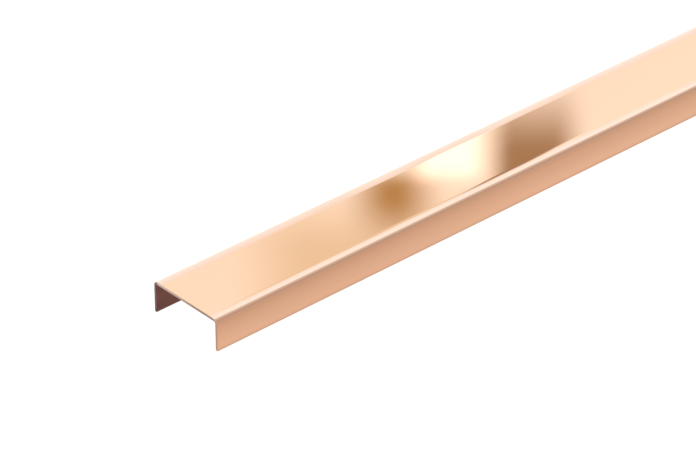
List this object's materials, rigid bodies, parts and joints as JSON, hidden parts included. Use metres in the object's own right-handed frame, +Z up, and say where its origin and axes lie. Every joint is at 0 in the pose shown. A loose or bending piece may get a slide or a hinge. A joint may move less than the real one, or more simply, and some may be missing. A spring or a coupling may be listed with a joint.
{
  "type": "tile trim strip",
  "caption": "Narrow strip of polished copper-coloured sheet metal with its two long edges folded down into a U channel, set between wall tiles as a decorative border.",
  "frame": {"origin": "on the surface that the strip lies on, open side down, under the middle of its length and width", "axes": "+X along the strip, +Y across its face, +Z up, out of its polished face"},
  "size_m": [0.598, 0.02, 0.0075],
  "materials": {
    "copper_coated_steel": "mirror polished, copper-coloured coating on thin stainless sheet"
  },
  "bodies": {
    "root": {"trim_strip": "copper_coated_steel"}
  },
  "joints": []
}
